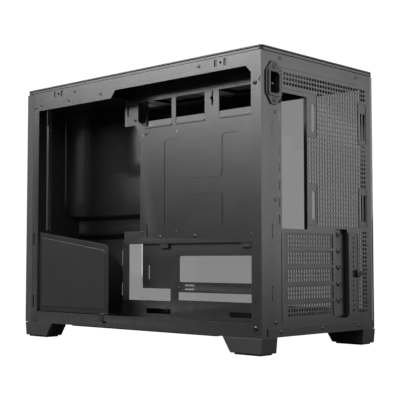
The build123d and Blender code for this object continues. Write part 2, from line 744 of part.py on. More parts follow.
def screws_on(plane_at, spots, head, height, shank_length):
    """Separate cross-headed screws whose heads stand on a plane and whose shanks go behind it."""
    with BuildPart() as group:
        with BuildSketch(plane_at):
            with Locations(*spots):
                Circle(head)
        extrude(amount=height)
        with BuildSketch(plane_at):
            with Locations(*spots):
                Circle(shank_r)
        extrude(amount=-shank_length)
        with BuildSketch(plane_at.offset(height)):
            with Locations(*spots):
                Rectangle(head * 1.1, 0.7)
                Rectangle(0.7, head * 1.1)
        extrude(amount=-height * 0.6, mode=Mode.SUBTRACT)
    return group.part


def out_of_rear(y):
    """Plane at a height y whose normal points to the rear; local x runs towards -X."""
    return Plane(origin=(0, y, 0), x_dir=(-1, 0, 0), z_dir=(0, 1, 0))


slot_screw_spots = [(-screw_x, slot_first_z - slot * slot_pitch + screw_rise) for slot in range(slot_count)]
slot_screws = screws_on(out_of_rear(recess_floor_y), slot_screw_spots, head_r, head_height, 6.0)
keep(slot_screws, "slot_screws")

# ---- slot clamp plate and its thumb screw --------------------------------------------------------
clamp_x1 = recess_x0 - 1.5
clamp_x0 = clamp_x1 - clamp_plate_width
clamp_z0 = base_z + 19.0
clamp_z1 = base_z + 122.0
clamp_bead_x = clamp_x0 + 2.4
clamp_holes_x = clamp_x0 + 12.4
clamp_y = rear_face + fit_gap
thumb_x = clamp_x0 + 5.0
thumb_z = base_z + 71.0
thumb_r = 5.0
thumb_shank_r = 1.8
thumb_height = 4.4
with BuildPart() as slot_clamp:
    with BuildSketch(rear_plane(clamp_y + sheet), mode=Mode.PRIVATE) as clamp_blank:
        window(clamp_x0, clamp_x1, clamp_z0, clamp_z1)
        cut_round(thumb_x, thumb_z, thumb_shank_r + 0.08)
    clamp_holes = hole_grid(
        rear_plane(clamp_y + sheet),
        (clamp_holes_x, (clamp_z0 + clamp_z1) / 2),
        (1.0, 6.0),
        (1, 16),
        (1.8, 2.6),
    )
    extrude(punched(clamp_blank.sketch.face(), clamp_holes), amount=sheet, dir=(0, -1, 0))
    with BuildSketch(rear_plane(clamp_y + sheet + bead_height)):
        window(clamp_bead_x - bead_width / 2, clamp_bead_x + bead_width / 2, clamp_z0 + 2.0, thumb_z - 7.0)
        window(clamp_bead_x - bead_width / 2, clamp_bead_x + bead_width / 2, thumb_z + 7.0, clamp_z1 - 2.0)
    extrude(amount=bead_height)
keep(slot_clamp.part, "slot_clamp")

with BuildPart() as clamp_thumb_screw:
    with BuildSketch(out_of_rear(clamp_y + sheet + 0.3)):
        with Locations((-thumb_x, thumb_z)):
            Circle(thumb_r)
            with PolarLocations(thumb_r, 24):
                Circle(0.35, mode=Mode.SUBTRACT)
    extrude(amount=thumb_height)
    with BuildSketch(out_of_rear(clamp_y + sheet + 0.3)):
        with Locations((-thumb_x, thumb_z)):
            Circle(thumb_shank_r)
    extrude(amount=-(sheet + 0.5))
    with BuildSketch(out_of_rear(clamp_y + sheet + 0.3 + thumb_height)):
        with Locations((-thumb_x, thumb_z)):
            Rectangle(6.6, 1.0)
            Rectangle(1.0, 6.6)
    extrude(amount=-1.4, mode=Mode.SUBTRACT)
keep(clamp_thumb_screw.part, "clamp_thumb_screw")

# ---- mains inlet ----------------------------------------------------------------------------------
inlet_flange_x = 29.2
inlet_flange_z = 50.4
inlet_cavity_x = 16.0
inlet_cavity_z = 24.8
inlet_collar = 1.4
inlet_depth = 20.0
with BuildPart() as inlet_housing:
    with BuildSketch(out_of_rear(rear_face)):
        with Locations((-inlet_x, inlet_z)):
            Polygon(
                (-inlet_flange_x / 2, 12.5),
                (-5.0, inlet_flange_z / 2),
                (5.0, inlet_flange_z / 2),
                (inlet_flange_x / 2, 12.5),
                (inlet_flange_x / 2, -12.5),
                (5.0, -inlet_flange_z / 2),
                (-5.0, -inlet_flange_z / 2),
                (-inlet_flange_x / 2, -12.5),
                align=None,
            )
            with Locations((0, inlet_screw_pitch / 2), (0, -inlet_screw_pitch / 2)):
                Circle(shank_r + hole_gap, mode=Mode.SUBTRACT)
    extrude(amount=1.6)
    with BuildSketch(out_of_rear(rear_face + 1.6)):
        with Locations((-inlet_x, inlet_z)):
            RectangleRounded(23.0, 31.0, 4.0)
    extrude(amount=inlet_collar)
    with BuildSketch(out_of_rear(rear_face)):
        with Locations((-inlet_x, inlet_z)):
            Rectangle(inlet_cut_x - 2 * hole_gap, inlet_cut_z - 2 * hole_gap)
    extrude(amount=-inlet_depth)
    with BuildSketch(out_of_rear(rear_face + 1.6 + inlet_collar)):
        with Locations((-inlet_x, inlet_z)):
            Rectangle(inlet_cavity_x, inlet_cavity_z)
            chamfer(vertices().group_by(Axis.X)[-1], 3.0)
    extrude(amount=-(inlet_depth - 3.0 + inlet_collar), mode=Mode.SUBTRACT)
keep(inlet_housing.part, "inlet_housing")

inlet_floor = rear_face + 1.6 - (inlet_depth - 3.0)
with BuildPart() as inlet_pins:
    with BuildSketch(out_of_rear(inlet_floor)):
        with Locations(
            (-inlet_x - 2.0, inlet_z - 7.0), (-inlet_x - 2.0, inlet_z + 7.0), (-inlet_x + 2.0, inlet_z)
        ):
            Rectangle(4.0, 2.0)
    extrude(amount=13.0)
keep(inlet_pins.part, "inlet_pins")

inlet_screw_spots = [(-inlet_x, inlet_z + side * inlet_screw_pitch / 2) for side in (-1, 1)]
inlet_screws = screws_on(out_of_rear(rear_face + 1.6), inlet_screw_spots, head_r, 1.0, 6.0)
keep(inlet_screws, "inlet_screws")

# ---- rivets and screws of the chassis ---------------------------------------------------------------
with BuildPart() as rear_rivets:
    for spots, head_y in ((rear_rivet_spots, rear_face), (base_rivet_spots, half_d)):
        mirrored = [(-x, z) for x, z in spots]
        with BuildSketch(out_of_rear(head_y)):
            with Locations(*mirrored):
                Circle(rivet_r)
        extrude(amount=rivet_height)
        with BuildSketch(out_of_rear(head_y)):
            with Locations(*mirrored):
                Circle(shank_r)
        extrude(amount=-(head_y - rear_inside + 1.4))
keep(rear_rivets.part, "rear_rivets")

rail_screws = screws_on(side_plane(half_w), side_screw_spots, 2.3, 0.8, 3.0)
keep(rail_screws, "rail_screws")
column_screws = screws_on(side_plane(half_w), column_screw_spots, head_r, head_height, 4.0)
keep(column_screws, "column_screws")
tray_screws = screws_on(side_plane(tray_x), tray_screw_spots, 2.3, 0.9, 2.4)
keep(tray_screws, "tray_screws")

# ---- motherboard stand-offs ----------------------------------------------------------------------
with BuildPart() as stand_offs:
    for board_z in board_spots_z:
        skin = lower_plate_x - sheet if board_z == board_spots_z[0] else tray_x - sheet
        board_face = tray_x - sheet - stand_off_height
        spots = [(board_y, board_z) for board_y in board_spots_y]
        with BuildSketch(side_plane(board_face)):
            with Locations(*spots):
                RegularPolygon(stand_off_r, 6)
        extrude(amount=skin - board_face)
        with BuildSketch(side_plane(skin)):
            with Locations(*spots):
                Circle(shank_r)
        extrude(amount=sheet + 0.6)
        with BuildSketch(side_plane(board_face)):
            with Locations(*spots):
                Circle(1.4)
        extrude(amount=2.6, mode=Mode.SUBTRACT)
keep(stand_offs.part, "stand_offs")

# ---- catches that hold the side panel studs ----------------------------------------------------------
catch_length = 24.0
catch_height = 10.0
catch_depth = 6.0
with BuildPart() as right_catches:
    with BuildSketch(side_plane(half_w - sheet)):
        with Locations(*catch_spots):
            Rectangle(catch_length, catch_height)
            Circle(stud_r - 0.4, mode=Mode.SUBTRACT)
    extrude(amount=-catch_depth)
keep(right_catches.part, "right_catches")

with BuildPart() as left_catches:
    with BuildSketch(side_plane(left_wall + sheet)):
        with Locations(*left_stud_spots):
            Rectangle(catch_length, catch_height)
            Circle(stud_r + fit_gap, mode=Mode.SUBTRACT)
    extrude(amount=catch_depth)
keep(left_catches.part, "left_catches")

with BuildPart() as front_catches:
    with BuildSketch(rear_plane(front_inside)):
        with Locations(*front_stud_spots):
            Rectangle(catch_length, catch_height)
            Circle(stud_r + fit_gap, mode=Mode.SUBTRACT)
    extrude(amount=-catch_depth)
keep(front_catches.part, "front_catches")

# ---- left glass panel ------------------------------------------------------------------------------
glass_z0 = base_z + 0.6
glass_z1 = rail_top - 0.6
side_glass_y0 = -half_d + glass_thick + 0.5
side_glass_y1 = half_d - 1.0
strip_height = 13.0
strip_y0 = front_wall + 2.0
strip_thick = glass_gap - 0.3
glass_inner_x = -half_w + glass_thick
with BuildPart() as side_glass:
    with BuildSketch(side_plane(-half_w)):
        window(side_glass_y0, side_glass_y1, glass_z0, glass_z1)
    extrude(amount=glass_thick)
    chamfer(side_glass.edges().filter_by(Axis.Z).group_by(Axis.X)[0], 0.5)
keep(side_glass.part, "side_glass")

with BuildPart() as side_glass_strips:
    with BuildSketch(side_plane(glass_inner_x)):
        window(strip_y0, side_glass_y1 - 4.0, glass_z0 + 1.0, glass_z0 + 1.0 + strip_height)
        window(strip_y0, side_glass_y1 - 4.0, glass_z1 - 1.0 - strip_height, glass_z1 - 1.0)
    extrude(amount=strip_thick)
keep(side_glass_strips.part, "side_glass_strips")


def ball_studs(plane_at, spots):
    """Studs with a rounded ball end, standing on a plane."""
    with BuildPart() as studs:
        with BuildSketch(plane_at):
            with Locations(*spots):
                Circle(stud_r - 0.5)
        extrude(amount=stud_length - stud_r)
        for spot_x, spot_y in spots:
            centre = plane_at.from_local_coords((spot_x, spot_y, stud_length - stud_r - 0.2))
            with Locations(centre):
                Sphere(stud_r)
    return studs.part


side_studs = ball_studs(side_plane(glass_inner_x + strip_thick), left_stud_spots)
keep(side_studs, "side_studs")

# ---- front panel: moulded trim, glass and studs --------------------------------------------------------
split_x = lower_wall_x + 12.0
trim_skin = 2.0
trim_back = front_wall - 0.3
trim_z0 = base_z + 0.6
trim_z1 = rail_top - 0.6
glass_back = -half_d + glass_thick
port_x = half_w - 15.5
button_z = base_z + 292.0
button_r = 7.0
usb_spots = [base_z + 96.0, base_z + 74.0]
usb_c_z = base_z + 56.0
jack_z = base_z + 40.0
usb_x = 6.8
usb_z = 14.4
with BuildPart() as front_trim:
    with BuildSketch(rear_plane(-half_d), mode=Mode.PRIVATE) as trim_blank:
        window(split_x, half_w, trim_z0, trim_z1)
    trim_vents = hole_grid(
        rear_plane(-half_d), (split_x + 26.0, (trim_z0 + trim_z1) / 2), (12.0, 7.0), (3, 36), (8.0, 3.0)
    )
    extrude(punched(trim_blank.sketch.face(), trim_vents), amount=trim_back + half_d, dir=(0, 1, 0))
    with BuildSketch(rear_plane(trim_back)):
        window(split_x + trim_skin, half_w - trim_skin, trim_z0 + trim_skin, trim_z1 - trim_skin)
    extrude(amount=trim_back + half_d - trim_skin, mode=Mode.SUBTRACT)
    with BuildSketch(rear_plane(trim_back)):
        window(glass_inner_x + fit_gap, split_x, trim_z0, trim_z0 + 12.0)
        window(glass_inner_x + fit_gap, split_x, trim_z1 - 12.0, trim_z1)
    extrude(amount=trim_back - glass_back - 0.2)
    with BuildSketch(rear_plane(trim_back)):
        for stud_x, stud_z in front_stud_spots:
            boss_z0 = trim_z0 if stud_z < base_z + body_height / 2 else stud_z - 4.6
            boss_z1 = trim_z1 if stud_z > base_z + body_height / 2 else stud_z + 4.6
            window(stud_x - 5.0, stud_x + 5.0, boss_z0, boss_z1)
    extrude(amount=4.0)
    with BuildSketch(rear_plane(trim_back)):
        with Locations((port_x, button_z)):
            Circle(button_r + 0.3)
        for usb_centre in usb_spots:
            with Locations((port_x, usb_centre)):
                Rectangle(usb_x + 2 * fit_gap, usb_z + 2 * fit_gap)
        with Locations((port_x, usb_c_z)):
            SlotOverall(10.4, 4.6, rotation=90)
        with Locations((port_x, jack_z)):
            Circle(3.8)
    extrude(amount=trim_back + half_d, mode=Mode.SUBTRACT)
keep(front_trim.part, "front_trim")

with BuildPart() as front_glass:
    with BuildSketch(rear_plane(-half_d)):
        window(-half_w, split_x - 0.2, trim_z0, trim_z1)
    extrude(amount=-glass_thick)
    chamfer(front_glass.edges().filter_by(Axis.Z).group_by(Axis.X)[0].sort_by(Axis.Y)[:1], 0.5)
keep(front_glass.part, "front_glass")

front_studs = ball_studs(
    Plane(origin=(0, trim_back, 0), x_dir=(-1, 0, 0), z_dir=(0, 1, 0)),
    [(-stud_x, stud_z) for stud_x, stud_z in front_stud_spots],
)
keep(front_studs, "front_studs")

# ---- power button, switch, port board and ports ------------------------------------------------------
button_travel = 1.5
board_thick = 1.6
port_board_face = front_wall - board_thick
with BuildPart() as power_button:
    with BuildSketch(rear_plane(-half_d)):
        with Locations((port_x, button_z)):
            Circle(button_r)
    extrude(amount=-4.0)
    chamfer(power_button.edges().group_by(Axis.Y)[0], 0.5)
    with BuildSketch(rear_plane(-half_d + trim_skin + 0.3)):
        with Locations((port_x, button_z)):
            Circle(button_r + 1.6)
    extrude(amount=-1.4)
    with BuildSketch(rear_plane(-half_d + 3.0)):
        with Locations((port_x, button_z)):
            Circle(1.6)
    extrude(amount=-5.0)
keep(power_button.part, "power_button")

with BuildPart() as power_switch:
    with BuildSketch(rear_plane(port_board_face)):
        with Locations((port_x, button_z)):
            Rectangle(6.0, 6.0)
    extrude(amount=front_depth - board_thick - 8.0 - button_travel - 0.4 - 1.0)
    with BuildSketch(rear_plane(port_board_face)):
        with Locations((port_x, button_z)):
            Circle(1.5)
    extrude(amount=front_depth - board_thick - 8.0 - button_travel - 0.4)
keep(power_switch.part, "power_switch")

with BuildPart() as switch_board:
    with BuildSketch(rear_plane(front_wall)):
        with Locations((port_x, button_z)):
            Rectangle(16.0, 22.0)
    extrude(amount=board_thick)
keep(switch_board.part, "switch_board")

with BuildPart() as port_board:
    with BuildSketch(rear_plane(front_wall)):
        window(port_x - 9.0, port_x + 9.0, base_z + 30.0, base_z + 108.0)
    extrude(amount=board_thick)
keep(port_board.part, "port_board")

port_reach = port_board_face + half_d - trim_skin - 0.4
for number, usb_centre in enumerate(usb_spots, start=1):
    with BuildPart() as usb_port:
        with BuildSketch(rear_plane(port_board_face)):
            with Locations((port_x, usb_centre)):
                Rectangle(usb_x, usb_z)
        extrude(amount=port_reach)
        with BuildSketch(rear_plane(port_board_face - 1.0)):
            with Locations((port_x, usb_centre)):
                Rectangle(usb_x - 0.9, usb_z - 0.9)
        extrude(amount=port_reach, mode=Mode.SUBTRACT)
        with BuildSketch(rear_plane(port_board_face - 1.0)):
            with Locations((port_x + 1.2, usb_centre)):
                Rectangle(1.8, usb_z - 3.0)
        extrude(amount=port_reach - 2.5)
    keep(usb_port.part, f"usb_a_port_{number}")

with BuildPart() as usb_c_port:
    with BuildSketch(rear_plane(port_board_face)):
        with Locations((port_x, usb_c_z)):
            SlotOverall(9.2, 3.4, rotation=90)
    extrude(amount=port_reach)
    with BuildSketch(rear_plane(port_board_face - 1.0)):
        with Locations((port_x, usb_c_z)):
            SlotOverall(8.5, 2.7, rotation=90)
    extrude(amount=port_reach, mode=Mode.SUBTRACT)
    with BuildSketch(rear_plane(port_board_face - 1.0)):
        with Locations((port_x, usb_c_z)):
            Rectangle(0.7, 6.0)
    extrude(amount=port_reach - 2.0)
keep(usb_c_port.part, "usb_c_port")

with BuildPart() as audio_jack:
    with BuildSketch(rear_plane(port_board_face)):
        with Locations((port_x, jack_z)):
            Circle(3.3)
            Circle(1.8, mode=Mode.SUBTRACT)
    extrude(amount=port_reach)
keep(audio_jack.part, "audio_jack")

# ---- top cover and its dust filter --------------------------------------------------------------------
cover_z = top_z - lid_thick
with BuildPart() as top_cover:
    with BuildSketch(Plane.XY.offset(cover_z), mode=Mode.PRIVATE) as cover_plate:
        RectangleRounded(case_width, case_depth, rim_corner)
    cover_vents = hole_grid(
        Plane.XY.offset(cover_z), (0.0, 0.0), (26.0, 8.0), (7, 44), (20.0, 4.0)
    )
    extrude(punched(cover_plate.sketch.face(), cover_vents), amount=lid_thick, dir=(0, 0, 1))
    chamfer(top_cover.faces().sort_by(Axis.Z)[-1].outer_wire().edges(), 0.6)
keep(top_cover.part, "top_cover")

filter_frame = 6.0
with BuildPart() as top_filter:
    with BuildSketch(Plane.XY.offset(cover_z - 1.4)):
        Rectangle(case_width - 2 * rim_width - 2.0, case_depth - 2 * (rim_width + front_depth) - 2.0)
        with GridLocations(0, 120.0, 1, 3):
            Rectangle(case_width - 2 * rim_width - 2.0 - 2 * filter_frame, 112.0, mode=Mode.SUBTRACT)
    extrude(amount=1.4)
    with BuildSketch(Plane.XY.offset(cover_z - 0.9)):
        Rectangle(case_width - 2 * rim_width - 4.0, case_depth - 2 * (rim_width + front_depth) - 4.0)
    extrude(amount=0.4)
keep(top_filter.part, "top_filter")

# ---- bottom dust filter and its runners -----------------------------------------------------------------
tray_half = 78.0
filter_length = 276.0
filter_thick = 2.4
runner_thick = 1.4
runner_lip = 5.0
with BuildPart() as bottom_filter:
    with BuildSketch(Plane.XY.offset(base_z - fit_gap - filter_thick)):
        with Locations((0, filter_y)):
            Rectangle(2 * tray_half, filter_length)
            with GridLocations(0, 88.0, 1, 3):
                Rectangle(2 * tray_half - 18.0, 80.0, mode=Mode.SUBTRACT)
    extrude(amount=filter_thick)
    with BuildSketch(Plane.XY.offset(base_z - fit_gap - filter_thick + 1.0)):
        with Locations((0, filter_y)):
            Rectangle(2 * tray_half - 4.0, filter_length - 4.0)
    extrude(amount=0.4)
    with BuildSketch(Plane.XY.offset(base_z - fit_gap - filter_thick - 2.6)):
        with Locations((0, filter_y - filter_length / 2 + 2.0)):
            Rectangle(60.0, 4.0)
    extrude(amount=2.6)
keep(bottom_filter.part, "bottom_filter")

runner_z = base_z - 2 * fit_gap - filter_thick - runner_thick
with BuildPart() as filter_runners:
    for side in (-1, 1):
        with BuildSketch(Plane.XY.offset(runner_z)):
            with Locations((side * (tray_half + fit_gap + runner_thick / 2), filter_y)):
                Rectangle(runner_thick, filter_length)
        extrude(amount=base_z - runner_z)
        with BuildSketch(Plane.XY.offset(runner_z)):
            with Locations((side * (tray_half + fit_gap - runner_lip / 2), filter_y)):
                Rectangle(runner_lip, filter_length)
        extrude(amount=runner_thick)
keep(filter_runners.part, "filter_runners")

# ---- feet ------------------------------------------------------------------------------------------------
foot_width = 27.0
foot_length = 61.0
foot_slant = 12.0
pad_thick = 2.0
pad_inset = 3.0
pad_length = 39.0
foot_corners = [
    ("front", -1, "left", -1),
    ("front", -1, "right", 1),
    ("rear", 1, "left", -1),
    ("rear", 1, "right", 1),
]
for end_name, end, side_name, side in foot_corners:
    outer_x = side * half_w
    outer_y = end * half_d
    with BuildPart() as foot:
        with BuildSketch(side_plane(min(outer_x, outer_x - side * foot_width))):
            outline(
                (outer_y, base_z),
                (outer_y - end * foot_length, base_z),
                (outer_y - end * (foot_length - foot_slant), pad_thick),
                (outer_y - end * 2.0, pad_thick),
            )
        extrude(amount=foot_width)
        fillet(foot.edges().filter_by(Axis.Z, tolerance=40).group_by(Axis.Z)[0], 0.8)
    keep(foot.part, f"foot_{end_name}_{side_name}")
    with BuildPart() as pad:
        with BuildSketch(Plane.XY):
            with Locations((outer_x - side * foot_width / 2, outer_y - end * (6.0 + pad_length / 2))):
                Rectangle(foot_width - 2 * pad_inset, pad_length)
        extrude(amount=pad_thick)
    keep(pad.part, f"foot_pad_{end_name}_{side_name}")
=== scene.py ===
# %% [markdown]
# # Desktop computer tower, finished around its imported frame
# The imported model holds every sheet, screw and joint at its real size. Blender adds the looks: softened
# edges, turned and pressed detail, and the finishes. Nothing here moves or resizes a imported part.

import json
import math

import bmesh
import bpy
import numpy as np
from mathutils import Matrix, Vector

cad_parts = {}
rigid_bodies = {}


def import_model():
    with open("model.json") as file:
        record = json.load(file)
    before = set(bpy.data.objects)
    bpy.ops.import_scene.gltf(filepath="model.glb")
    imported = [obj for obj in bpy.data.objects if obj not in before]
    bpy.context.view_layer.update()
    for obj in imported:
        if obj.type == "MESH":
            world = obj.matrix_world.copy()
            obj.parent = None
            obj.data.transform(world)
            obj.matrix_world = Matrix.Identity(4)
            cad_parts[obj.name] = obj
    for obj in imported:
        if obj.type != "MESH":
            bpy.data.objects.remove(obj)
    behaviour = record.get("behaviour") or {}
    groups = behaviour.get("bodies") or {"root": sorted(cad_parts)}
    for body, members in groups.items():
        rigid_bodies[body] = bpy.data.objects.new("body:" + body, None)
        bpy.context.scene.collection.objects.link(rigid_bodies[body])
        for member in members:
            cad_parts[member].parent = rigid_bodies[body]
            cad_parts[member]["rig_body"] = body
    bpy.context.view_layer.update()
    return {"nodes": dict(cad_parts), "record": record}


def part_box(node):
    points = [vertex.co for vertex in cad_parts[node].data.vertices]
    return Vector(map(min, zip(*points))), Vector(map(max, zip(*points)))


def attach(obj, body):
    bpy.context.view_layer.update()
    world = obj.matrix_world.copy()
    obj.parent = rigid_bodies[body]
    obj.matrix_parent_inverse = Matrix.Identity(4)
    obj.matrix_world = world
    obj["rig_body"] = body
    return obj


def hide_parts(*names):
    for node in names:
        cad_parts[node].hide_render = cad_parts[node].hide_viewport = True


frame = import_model()
MM = 0.001
body_of_node = {node: piece["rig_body"] for node, piece in frame["nodes"].items()}
slot_of_node = {part["node"]: part["material_slot"] for part in frame["record"]["subparts"]}

# %% [markdown]
# ## Camera, light and floor
# A long lens stands low beside the open side and the rear, so that uprights stay upright. Black paint
# shows mostly what it mirrors, so the light comes from four large soft panels: a strong one high to the
# front right, which runs down the open side and fades towards its foot, and weaker ones behind, overhead
# and on the camera's side.

# %% Camera
camera_data = bpy.data.cameras.new("camera")
camera = bpy.data.objects.new("camera", camera_data)
bpy.context.scene.collection.objects.link(camera)
camera_yaw, camera_rise = math.radians(43.365), math.radians(3.711)
camera_place = (0.9279, 0.8932, 0.1066)
sensor_mm, lens_mm = 36.0, 84.67
look = Vector(
    (
        -math.cos(camera_rise) * math.cos(camera_yaw),
        -math.cos(camera_rise) * math.sin(camera_yaw),
        math.sin(camera_rise),
    )
)
camera.location = camera_place
camera.rotation_euler = look.to_track_quat("-Z", "Y").to_euler()
camera_data.sensor_width = sensor_mm
camera_data.lens = lens_mm
bpy.context.scene.camera = camera
print("camera at", camera.location, "lens", camera_data.lens)


# %% Node helpers for every material and for the sky
def node_link(tree, source, target):
    """Joins an output socket to an input socket of the same node tree."""
    tree.links.new(source, target)


def new_node(tree, kind, **settings):
    """Adds a node; a setting that names an input socket sets its value, any other one a property."""
    node = tree.nodes.new(kind)
    for key, value in settings.items():
        socket = node.inputs.get(key.replace("_", " "))
        if socket is not None:
            socket.default_value = value
        else:
            setattr(node, key, value)
    return node


def maths(tree, operation, first, second):
    """One Math node; each value is a number or a socket. Gives its output socket."""
    node = tree.nodes.new("ShaderNodeMath")
    node.operation = operation
    for socket, value in zip(node.inputs, (first, second)):
        if isinstance(value, (int, float)):
            socket.default_value = value
        else:
            tree.links.new(value, socket)
    return node.outputs[0]


# %% Soft panels of light
def soft_panel(name, azimuth, elevation, distance, width, height, watts, target=(0, 0, 0.18)):
    """Rectangular area light on a sphere about the target: azimuth turns from +X towards +Y."""
    light = bpy.data.lights.new(name, "AREA")
    light.shape = "RECTANGLE"
    light.size, light.size_y, light.energy = width, height, watts
    lamp = bpy.data.objects.new(name, light)
    a, e = math.radians(azimuth), math.radians(elevation)
    outward = Vector((math.cos(a) * math.cos(e), math.sin(a) * math.cos(e), math.sin(e)))
    lamp.location = Vector(target) + outward * distance
    lamp.rotation_euler = (-outward).to_track_quat("-Z", "Y").to_euler()
    bpy.context.scene.collection.objects.link(lamp)
    return lamp


panels = [
    soft_panel("panel_front_right", -30.0, 27.0, 2.2, 1.8, 1.2, 60.0),
    soft_panel("panel_rear_left", 122.0, 12.0, 2.4, 2.0, 1.3, 22.0),
    soft_panel("panel_overhead", 45.0, 82.0, 2.4, 1.6, 1.6, 30.0),
    soft_panel("panel_fill", 40.0, 30.0, 3.2, 3.0, 2.0, 36.0),
]
print("light panels", [lamp.name for lamp in panels])

# %% White surroundings, dimmer as a source of light than as a backdrop
sky = bpy.data.worlds.new("studio")
bpy.context.scene.world = sky
sky.use_nodes = True
sky_tree = sky.node_tree
sky_tree.nodes.clear()
backdrop = new_node(sky_tree, "ShaderNodeBackground", Color=(1, 1, 1, 1))
ray = sky_tree.nodes.new("ShaderNodeLightPath")
seen = maths(sky_tree, "MAXIMUM", ray.outputs["Is Camera Ray"], ray.outputs["Is Transmission Ray"])
surroundings, backdrop_white = 0.14, 1.05
extra = maths(sky_tree, "MULTIPLY", seen, backdrop_white - surroundings)
strength = maths(sky_tree, "ADD", extra, surroundings)
node_link(sky_tree, strength, backdrop.inputs["Strength"])
sky_out = sky_tree.nodes.new("ShaderNodeOutputWorld")
node_link(sky_tree, backdrop.outputs[0], sky_out.inputs["Surface"])
bpy.context.scene.view_settings.view_transform = "Standard"
print("surroundings light the tower at", surroundings)

# %% Floor
floor_mesh = bpy.data.meshes.new("floor")
floor_reach, floor_bounce = 30.0, 0.10
floor_corners = [(floor_reach * x, floor_reach * y, 0) for x, y in ((-1, -1), (1, -1), (1, 1), (-1, 1))]
floor_mesh.from_pydata(floor_corners, [], [(0, 1, 2, 3)])
floor = bpy.data.objects.new("floor", floor_mesh)
bpy.context.scene.collection.objects.link(floor)
floor_paint = bpy.data.materials.new("floor_white")
floor_paint.use_nodes = True
floor_tree = floor_paint.node_tree
floor_shader = floor_tree.nodes["Principled BSDF"]
floor_shader.inputs["Roughness"].default_value = 0.9
floor_shader.inputs["Specular IOR Level"].default_value = 0.1
floor_ray = floor_tree.nodes.new("ShaderNodeLightPath")
floor_seen = maths(
    floor_tree, "MAXIMUM", floor_ray.outputs["Is Camera Ray"], floor_ray.outputs["Is Transmission Ray"])
floor_tone = new_node(floor_tree, "ShaderNodeMix", data_type="RGBA")
floor_tone.inputs[6].default_value = (floor_bounce, floor_bounce, floor_bounce, 1)
floor_tone.inputs[7].default_value = (0, 0, 0, 1)
node_link(floor_tree, floor_seen, floor_tone.inputs[0])
node_link(floor_tree, floor_tone.outputs[2], floor_shader.inputs["Base Color"])
floor_shader.inputs["Emission Color"].default_value = (1, 1, 1, 1)
floor_glow = maths(floor_tree, "MULTIPLY", floor_seen, backdrop_white)
node_link(floor_tree, floor_glow, floor_shader.inputs["Emission Strength"])
floor_mesh.materials.append(floor_paint)
print("floor laid at z 0")

# %% [markdown]
# ## Shared surface effects
# Paint, plastic and rubber share three effects: a fine lumpy skin, wear with a painted highlight that
# lightens proud edges, and dust that settles on faces that look up. Each is a node group that gives out
# one value, so that every finish places it with its own amounts.


# %% Start a node group
def start_group(name, inputs, output):
    """Node group with named number inputs (name: default) and one number output."""
    group = bpy.data.node_groups.new(name, "ShaderNodeTree")
    for label, default in inputs.items():
        socket = group.interface.new_socket(name=label, in_out="INPUT", socket_type="NodeSocketFloat")
        socket.default_value = default
    group.interface.new_socket(name=output, in_out="OUTPUT", socket_type="NodeSocketFloat")
    return group, group.nodes.new("NodeGroupInput"), group.nodes.new("NodeGroupOutput")


def object_noise(tree, scale, detail, roughness=0.5):
    """Noise on object coordinates; scale is a number or a socket. Gives its value socket."""
    place = tree.nodes.new("ShaderNodeTexCoord")
    noise = tree.nodes.new("ShaderNodeTexNoise")
    noise.inputs["Detail"].default_value = detail
    noise.inputs["Roughness"].default_value = roughness
    tree.links.new(place.outputs["Object"], noise.inputs["Vector"])
    if isinstance(scale, (int, float)):
        noise.inputs["Scale"].default_value = scale
    else:
        tree.links.new(scale, noise.inputs["Scale"])
    return noise.outputs["Fac"]


# %% Lumpy skin: a fine grain with a broader ripple under it
skin_group, skin_in, skin_out = start_group("lumpy_skin", {"Grain Scale": 1400.0, "Ripple": 0.35}, "Height")
grain = object_noise(skin_group, skin_in.outputs["Grain Scale"], 2.0)
ripple_scale = maths(skin_group, "MULTIPLY", skin_in.outputs["Grain Scale"], 0.22)
ripple = object_noise(skin_group, ripple_scale, 1.0)
ripple_part = maths(skin_group, "MULTIPLY", ripple, skin_in.outputs["Ripple"])
node_link(skin_group, maths(skin_group, "ADD", grain, ripple_part), skin_out.inputs["Height"])

# %% Edge wear and painted highlight: proud edges made lighter, broken up by noise
# Painted highlight as well as wear: this mask lightens proud edges in the colour, where light would catch
# them.
wear_highlight_group, wear_highlight_in, wear_highlight_out = start_group("edge_wear_and_highlight", {"Amount": 0.5, "Start": 0.53}, "Mask")
geometry = wear_highlight_group.nodes.new("ShaderNodeNewGeometry")
proud = maths(wear_highlight_group, "SUBTRACT", geometry.outputs["Pointiness"], wear_highlight_in.outputs["Start"])
wear_highlight_gain = 12.0
proud = maths(wear_highlight_group, "MULTIPLY", proud, wear_highlight_gain)
broken = maths(wear_highlight_group, "MULTIPLY", proud, object_noise(wear_highlight_group, 160.0, 4.0))
worn_and_highlit = maths(wear_highlight_group, "MULTIPLY", broken, wear_highlight_in.outputs["Amount"])
worn_and_highlit = maths(wear_highlight_group, "MINIMUM", maths(wear_highlight_group, "MAXIMUM", worn_and_highlit, 0.0), 1.0)
node_link(wear_highlight_group, worn_and_highlit, wear_highlight_out.inputs["Mask"])

# %% Settled dust: upward faces, in soft patches
dust_group, dust_in, dust_out = start_group("settled_dust", {"Amount": 0.2}, "Mask")
dust_geometry = dust_group.nodes.new("ShaderNodeNewGeometry")
upward = dust_group.nodes.new("ShaderNodeSeparateXYZ")
node_link(dust_group, dust_geometry.outputs["Normal"], upward.inputs[0])
lying_from, dust_gain = 0.6, 4.0
lying = maths(dust_group, "MAXIMUM", maths(dust_group, "SUBTRACT", upward.outputs["Z"], lying_from), 0.0)
patches = maths(dust_group, "MULTIPLY", lying, object_noise(dust_group, 45.0, 5.0, 0.7))
dusty = maths(dust_group, "MULTIPLY", patches, dust_in.outputs["Amount"])
dusty = maths(dust_group, "MINIMUM", maths(dust_group, "MULTIPLY", dusty, dust_gain), 1.0)
node_link(dust_group, dusty, dust_out.inputs["Mask"])

